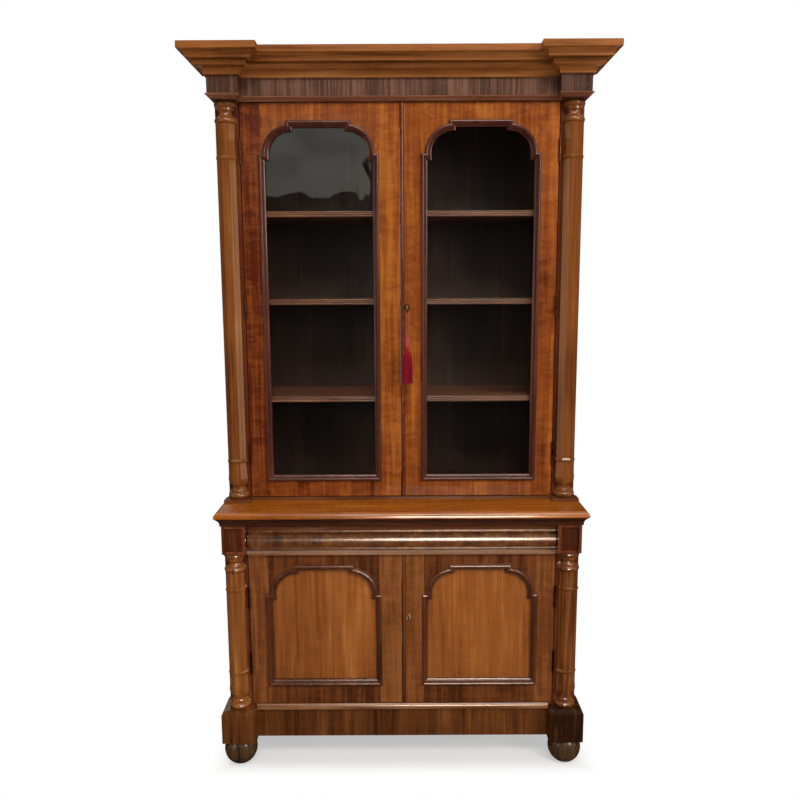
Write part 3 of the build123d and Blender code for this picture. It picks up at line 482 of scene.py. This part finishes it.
# %% Choose the woods of the base
strip_height = 0.01
strip_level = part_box("drawer_front")[1][2] - strip_height
panel_depth = 0.003
block_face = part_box("base_frieze_blocks")[0][1]
top_board_wood = mahogany(
    "top_board_wood", "X", (124, 60, 9), (158, 84, 16), (186, 112, 34), mottle=0.08, streaks=60.0, gloss=0.18,
)
# The plinth cap is paler than the plinth, partly its own wood and partly a painted highlight.
cap_wood_with_painted_highlight = mahogany(
    "cap_wood_with_painted_highlight", "round", (100, 58, 33), (146, 97, 62), (172, 123, 84), streaks=90.0, gloss=0.22, polish=0.1,
)
# The bead below the drawer is painted light, partly its own wood and partly a painted highlight. Above
# strip_level the strip is 0.14 darker.
band_wood_with_painted_highlight = mahogany(
    "band_wood_with_painted_highlight", "X", (128, 69, 38), (174, 128, 98), (198, 154, 122),
    streaks=90.0, gloss=0.12, beyond=(strip_level, -0.14),
)
# The fillet over the foot of the upper case is given a lighter wood for its light line: a painted highlight
# over the wood's own tone.
fillet_wood_with_painted_highlight = mahogany(
    "fillet_wood_with_painted_highlight", "X", (70, 34, 18), (104, 58, 32), (136, 84, 52), streaks=90.0, gloss=0.12,
)
waist_cove_wood = mahogany("waist_cove_wood", "round", (48, 21, 12), (70, 35, 20), (96, 54, 32))
drawer_veneer = mahogany(
    "drawer_veneer", "Z", (84, 41, 16), (124, 68, 28), (166, 106, 52),
    mottle=0.24, streaks=60.0, gloss=0.23, polish=0.0,
)
# The sunk panels of the blocks are 0.11 darker, partly a redder veneer of their own and partly painted shade
# of the recess.
block_veneer_with_painted_recess_shade = mahogany(
    "block_veneer_with_painted_recess_shade", "Z", (72, 32, 15), (110, 56, 30), (142, 84, 52),
    streaks=90.0, gloss=0.16, beyond=(block_face + panel_depth, -0.11),
)
plinth_veneer = mahogany(
    "plinth_veneer", "Z", (62, 31, 11), (100, 55, 22), (134, 80, 34), mottle=0.1, streaks=60.0, gloss=0.18,
)
plinth_block_veneer = mahogany(
    "plinth_block_veneer", "Z", (46, 23, 9), (98, 54, 21), (132, 79, 34),
    mottle=0.1, streaks=60.0, gloss=0.18, boards=[(right_one, -0.13)],
)
foot_wood = mahogany("foot_wood", "Z", (48, 32, 20), (80, 56, 36), (112, 84, 58), mottle=0.1)
print("wood finishes", len(bpy.data.materials))

# %% Choose the woods inside and behind
back_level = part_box("upper_back")[1][1] - 0.0005  # just inside the face that looks to the wall
inside_wood = mahogany(
    "inside_wood", "Z", (31, 18, 13), (50, 29, 20), (72, 45, 31),
    streaks=50.0, gloss=0.5, beyond=(back_level, 0.15), polish=0.04,
)
shelf_wood = mahogany("shelf_wood", "X", (70, 37, 23), (102, 60, 40), (132, 84, 57), gloss=0.3)
lining_wood = mahogany(
    "lining_wood", "Y", (104, 72, 44), (136, 98, 62), (160, 122, 82), gloss=0.5, polish=0.02,
)
print("wood finishes", len(bpy.data.materials))

# %% [markdown]
# ## Metal
# The escutcheons and the key are old brass, worn bright in places. The hinges and bolts have a dark bronze
# patina, and the locks are plain steel. One even colour would look like new metal, so noise moves the colour
# between dull and bright and the roughness with it, and finer noise adds small scratches.

# %% Make the metals
meeting_reach = 0.1


def metal(name, dull, bright, gloss, scale, hinge_side=None):
    """Hinge_side gives a dull and a bright colour for what lies far from the meeting of the doors."""
    material, paint = new_finish(name)
    place = paint.node("ShaderNodeTexCoord", output="Object")
    cloud = paint.node("ShaderNodeTexNoise", {}, {
        "Vector": place, "Scale": scale, "Detail": 5.0, "Roughness": 0.65,
    })
    scratch = paint.node("ShaderNodeTexNoise", {}, {"Vector": place, "Scale": scale * 9, "Detail": 3.0})
    worn = cloud.ramp(0.35, 0.65)
    tint = worn.blend(colour(*dull), colour(*bright))
    if hinge_side:
        x = paint.node("ShaderNodeSeparateXYZ", {}, {"Vector": place})
        far = abs(x) > meeting_reach
        tint = far.blend(tint, worn.blend(*[colour(*level) for level in hinge_side]))
    bump = paint.node("ShaderNodeBump", {}, {"Strength": 0.1, "Distance": 0.0004, "Height": scratch})
    surface(paint, paint.node("ShaderNodeBsdfPrincipled", {}, {
        "Base Color": tint, "Metallic": 1.0, "Roughness": gloss + cloud * 0.2, "Normal": bump,
    }))
    return material


patina = ((84, 46, 26), (112, 66, 40))
brass = metal("old_brass", (150, 104, 76), (226, 182, 142), gloss=0.14, scale=140.0)
fittings_metal = metal(
    "brass_and_bronze", (150, 106, 66), (228, 188, 134), gloss=0.16, scale=140.0, hinge_side=patina,
)
bronze = metal("hinge_bronze", *patina, gloss=0.36, scale=120.0)
steel = metal("lock_steel", (96, 92, 88), (150, 146, 140), gloss=0.3, scale=90.0)
print("metals", [made.name for made in (brass, fittings_metal, bronze, steel)])

# %% [markdown]
# ## Glass
# The panes are old drawn glass, clear but not quite flat. A wavy pane could be a mesh of many faces, but a
# slow bump on the flat CAD pane bends what it mirrors just as well. Light has to reach the shelves, so the
# glass lets most of a shadow ray through.

# %% Make the glass
pane, paint = new_finish("drawn_glass")
place = paint.node("ShaderNodeTexCoord", output="Object")
wave_place = paint.node("ShaderNodeMapping", {}, {"Vector": place, "Scale": (1.0, 1.0, 0.55)})
wave = paint.node("ShaderNodeTexNoise", {}, {
    "Vector": wave_place, "Scale": 9.0, "Detail": 1.5, "Distortion": 0.6,
})
ripple = paint.node("ShaderNodeBump", {}, {"Strength": 0.25, "Distance": 0.004, "Height": wave})
clear = paint.node("ShaderNodeBsdfPrincipled", {}, {
    "Base Color": colour(244, 248, 244), "Roughness": 0.02, "IOR": 1.48,
    "Transmission Weight": 1.0, "Normal": ripple,
})
through = paint.node("ShaderNodeBsdfTransparent")
shadow = paint.node("ShaderNodeLightPath", output="Is Shadow Ray")
let_through = 0.92
surface(paint, paint.node("ShaderNodeMixShader", {}, {0: shadow * let_through, 1: clear, 2: through}))
print("glass lets", let_through, "of a shadow ray through")

# %% [markdown]
# ## Silk
# The tassel is red silk, and its head and cord have faded. Each thread is a curve already, so the finish only
# has to add fibres finer than a thread: noise stretched upright, in the colour and as a small bump.

# %% Dye the silk
def silk(name, dark, light):
    material, paint = new_finish(name)
    place = paint.node("ShaderNodeTexCoord", output="Object")
    fibre_place = paint.node("ShaderNodeMapping", {}, {"Vector": place, "Scale": (1.0, 1.0, 0.12)})
    fibre = paint.node("ShaderNodeTexNoise", {}, {"Vector": fibre_place, "Scale": 900.0, "Detail": 2.0})
    dye = fibre.ramp(0.3, 0.7).blend(colour(*dark), colour(*light))
    fuzz = paint.node("ShaderNodeBump", {}, {"Strength": 0.4, "Distance": 0.0004, "Height": fibre})
    surface(paint, paint.node("ShaderNodeBsdfPrincipled", {}, {
        "Base Color": dye, "Roughness": 0.7, "Normal": fuzz, "Specular IOR Level": 0.2,
    }))
    return material


skirt_silk = silk("skirt_silk", (104, 6, 22), (182, 26, 52))
head_silk = silk("head_silk", (146, 40, 46), (198, 80, 84))
cord_silk = silk("cord_silk", (118, 44, 36), (182, 92, 76))
print("silks", [made.name for made in (skirt_silk, head_silk, cord_silk)])

# %% [markdown]
# ## Finishing each piece
# A case like this shows many cuts of one wood, and each CAD node takes one finish. The finishes could be
# given where they are made, but one table shows at a glance what the bookcase is made of. It reads from the
# top of the bookcase to the floor, and then come the inside, the glass and the metal.

# %% Give every piece its finish
finishes = {
    cornice_wood: ["cornice"],
    frieze_veneer: ["frieze"],
    neck_wood: ["neck_moulding"],
    door_veneer: ["upper_left_door_frame", "upper_right_door_frame"],
    cupboard_veneer: ["lower_left_door_frame", "lower_right_door_frame"],
    panel_veneer: ["lower_left_door_panel", "lower_right_door_panel"],
    arch_moulding_wood: ["upper_left_door_moulding", "upper_right_door_moulding"],
    panel_moulding_wood: ["lower_left_door_moulding", "lower_right_door_moulding"],
    column_wood: ["upper_columns"],
    base_column_wood: ["base_columns"],
    pilaster_wood: ["upper_pilasters", "base_pilasters", "upper_sides", "base_sides"],
    top_board_wood: ["waist_top"],
    cap_wood_with_painted_highlight: ["plinth_cap"],
    band_wood_with_painted_highlight: ["drawer_frame"],
    fillet_wood_with_painted_highlight: ["upper_base_moulding"],
    waist_cove_wood: ["waist_moulding"],
    drawer_veneer: ["drawer_front"],
    block_veneer_with_painted_recess_shade: ["base_frieze_blocks"],
    plinth_veneer: ["plinth_boards"],
    plinth_block_veneer: ["plinth_blocks"],
    foot_wood: ["bun_feet"],
    inside_wood: ["base_floor", "base_back", "upper_boards", "upper_back", "shelf_racks", "shelf_bearers"],
    shelf_wood: ["lower_shelf", "middle_shelf", "top_shelf", "cupboard_shelf"],
    lining_wood: ["drawer_box", "drawer_bottom"],
    pane: ["upper_left_door_glass", "upper_right_door_glass"],
    brass: ["upper_key"],
    fittings_metal: ["upper_right_door_fittings", "lower_right_door_fittings"],
    bronze: [
        "hinge_case_leaves", "hinge_pins", "upper_left_door_fittings", "lower_left_door_fittings",
        "upper_left_top_bolt", "upper_left_bottom_bolt", "lower_left_bolt",
    ],
    steel: ["upper_lock", "lower_lock", "upper_lock_bolt", "lower_lock_bolt"],
}
dressed = set()
for material, names in finishes.items():
    for name in names:
        slots = nodes[name].data.materials
        slots.clear()
        slots.append(material)
        dressed.add(name)
for piece, material in ((cord, cord_silk), (head, head_silk), (neck, skirt_silk), (skirt, skirt_silk)):
    piece.data.materials.append(material)
print("dressed", len(dressed), "replaced", sorted(set(nodes) - dressed))

# %% [markdown]
# ## Floor and surroundings
# The bookcase stands on a white ground with a soft shadow under it. A floor that is only lit would need so
# much light that the wood would wash out. So the floor, and the world, glow white for what the camera,
# a mirror or a pane sees, and near the plinth part of the floor stays lit, which keeps the shadow.

# %% Lay the floor
white = (1.0, 1.0, 1.0, 1.0)


def looked_at(paint):
    """1 for what the camera, a mirror or a pane sees, and 0 for light that falls on other things."""
    path = paint.node("ShaderNodeLightPath", output="Is Camera Ray")
    return path.either(path.of("Is Glossy Ray").either(path.of("Is Transmission Ray")))


shadow_ends_beside = (0.55, 0.68)
shadow_ends_before = (0.18, 0.28)
glow_near = 0.47
floor_material, paint = new_finish("white_ground")
x, y, _ = directions(paint, "Object")
beside = abs(x).ramp(*shadow_ends_beside)
before = (0.0 - y).ramp(*shadow_ends_before)
away = beside.either(before)
lit = paint.node("ShaderNodeBsdfDiffuse", {}, {"Color": colour(232, 230, 228)})
glow = paint.node("ShaderNodeEmission", {}, {"Color": white, "Strength": 1.0})
share = looked_at(paint) * (glow_near + (1.0 - glow_near) * away)
surface(paint, paint.node("ShaderNodeMixShader", {}, {0: share, 1: lit, 2: glow}))
bpy.ops.mesh.primitive_plane_add(size=14.0, location=(0.0, 0.0, 0.0))
floor = bpy.context.object
floor.name = "white_floor"
floor.data.materials.append(floor_material)
print("floor", round(floor.dimensions.x, 1), "m wide")

# %% Surround it with white
world = bpy.data.worlds.new("white_room")
bpy.context.scene.world = world
world.use_nodes = True
world.node_tree.nodes.clear()
paint = Wire(world.node_tree)
room_light = 0.2
sky = paint.node("ShaderNodeBackground", {}, {
    "Color": white, "Strength": looked_at(paint) * (1.0 - room_light) + room_light,
})
paint.node("ShaderNodeOutputWorld", {}, {"Surface": sky})
print("the world lights the bookcase with", room_light)

# %% [markdown]
# ## Light
# The light is that of a showroom: a broad ceiling light in front, and softer lamps to the right, to the left
# and behind. A pane would mirror the softer lamps as hard white patches, and the waist top shades the drawer
# from the ceiling light. Boards that block light could stand in the way, but light linking keeps a lamp off
# chosen pieces without one. Two low lamps work the other way: they are seen only as a gleam, one on the
# cushion of the drawer and one on edges that bulge to the front.

# %% Hang the lamps
def lamp(name, place, target, size, power, tint=(1.0, 0.97, 0.92)):
    """A rectangular lamp that looks at its target."""
    data = bpy.data.lights.new(name, "AREA")
    data.shape = "RECTANGLE"
    data.size, data.size_y = size
    data.energy = power
    data.color = tint
    made = bpy.data.objects.new(name, data)
    made.location = place
    made.rotation_euler = (Vector(target) - Vector(place)).to_track_quat("-Z", "Y").to_euler()
    bpy.context.scene.collection.objects.link(made)
    return made


ceiling = lamp("ceiling_light", (0.6, -4.0, 5.4), (0.0, 0.0, 1.1), (2.8, 1.4), power=185.0)
side_lamps = [
    lamp("right_light", (2.7, -3.0, 2.6), (0.1, -0.2, 0.9), (0.9, 1.6), power=58.0),
    lamp("left_light", (-2.8, -2.6, 1.6), (-0.1, -0.2, 1.0), (1.2, 1.8), power=12.0),
    lamp("back_light", (-1.6, 4.2, 3.4), (0.0, 0.2, 1.1), (2.4, 1.8), power=110.0),
]
print("lamps", [made.name for made in (ceiling, *side_lamps)])

# %% Keep lamps off some pieces
def keep_off(name, lamps, pieces):
    """The pieces named neither catch nor mirror these lamps."""
    spared = bpy.data.collections.new(name)
    for piece in pieces:
        spared.objects.link(nodes[piece])
    for linked in spared.collection_objects:
        linked.light_linking.link_state = "EXCLUDE"
    for each in lamps:
        each.light_linking.receiver_collection = spared


keep_off("panes", side_lamps, finishes[pane])
keep_off("drawer", [ceiling], ["drawer_front", "drawer_frame"])
print("side lamps kept off", finishes[pane])

# %% Add the gleams
gleam_x = 0.38
gleam_height = 0.8


def gleam(name, power, pieces):
    """A low lamp that shows only as a reflection, and only on the pieces named."""
    place = (gleam_x, -2.5, gleam_height)
    target = (gleam_x, -0.2, gleam_height)
    made = lamp(name, place, target, (0.9, 0.8), power, tint=(1.0, 0.86, 0.7))
    made.visible_diffuse = False
    shown = bpy.data.collections.new(name + "_pieces")
    for piece in pieces:
        shown.objects.link(nodes[piece])
    made.light_linking.receiver_collection = shown


gleam("drawer_gleam", power=215.0, pieces=["drawer_front"])
gleam("edge_gleam", power=100.0, pieces=[
    "waist_top", "plinth_cap", "base_columns", "lower_right_door_fittings", *finishes[panel_moulding_wood],
])

# %% [markdown]
# ## What the polish mirrors
# Polished wood and panes show the room in front of them, and a white room would veil them. So dark curtains
# and a carpet stand round the bookcase, with two narrow windows at the sides that draw lines on the columns
# and a pale wall for one pane. They could be lit walls, but sheets that glow a little keep their tone. Only a
# ray that has met a mirror sees them, so they neither shade the bookcase nor show through a pane.

# %% Stand the sheets round the bookcase
def reflected_sheet(name, place, turn, size, tint, folds, strength=1.0):
    """A sheet that only polished faces and panes show. Folds is how far its tone waves."""
    material, paint = new_finish(name)
    spot = paint.node("ShaderNodeTexCoord", output="Object")
    wave = paint.node("ShaderNodeTexNoise", {}, {"Vector": spot, "Scale": 3.0, "Detail": 2.0})
    level = [value * (1 - folds) for value in tint]
    glow = paint.node("ShaderNodeEmission", {}, {
        "Color": wave.ramp(0.4, 0.6).blend(colour(*level), colour(*tint)), "Strength": strength,
    })
    mirrored = paint.node("ShaderNodeLightPath", output="Glossy Depth") > 0.5
    unseen = paint.node("ShaderNodeBsdfTransparent")
    surface(paint, paint.node("ShaderNodeMixShader", {}, {0: mirrored, 1: unseen, 2: glow}))
    angles = [math.radians(angle) for angle in turn]
    bpy.ops.mesh.primitive_plane_add(size=1.0, location=place, rotation=angles)
    sheet = bpy.context.object
    sheet.name = name
    sheet.scale = (*size, 1.0)
    sheet.data.materials.append(material)
    sheet.visible_camera = False
    sheet.visible_diffuse = False
    sheet.visible_shadow = False


flat = (0, 0, 0)
across_room = (90, 0, 0)
along_room = (90, 0, 90)
dark = (34, 31, 29)
daylight = (255, 224, 186)
reflected_sheet("front_curtain", (0.0, -5.5, 2.4), across_room, (8.0, 5.6), dark, folds=0.5)
reflected_sheet("left_curtain", (-3.2, -1.6, 2.4), along_room, (7.8, 5.6), dark, folds=0.5)
reflected_sheet("right_curtain", (3.2, -1.6, 2.4), along_room, (7.8, 5.6), dark, folds=0.5)
reflected_sheet("back_curtain", (0.0, 3.4, 2.4), across_room, (8.0, 5.6), dark, folds=0.5)
reflected_sheet("dark_carpet", (0.0, -1.8, 0.004), flat, (8.0, 7.6), (40, 32, 26), folds=0.4)
reflected_sheet("pale_wall", (-0.85, -5.4, 2.93), across_room, (1.1, 0.8), (236, 233, 222), folds=0.12)
reflected_sheet("left_window", (-3.1, -0.9, 1.4), along_room, (0.5, 2.4), daylight, folds=0.0, strength=1.4)
reflected_sheet("right_window", (3.1, -0.9, 1.4), along_room, (0.5, 2.4), daylight, folds=0.0, strength=2.2)
print("sheets stand round the bookcase")

# %% [markdown]
# ## Closing
# A filmic view would soften the wood's colours, so the plain Standard view shows them as they are written.
# The dressed model has to stay inside the CAD model's box.

# %% Choose the plain view
bpy.context.scene.view_settings.view_transform = "Standard"
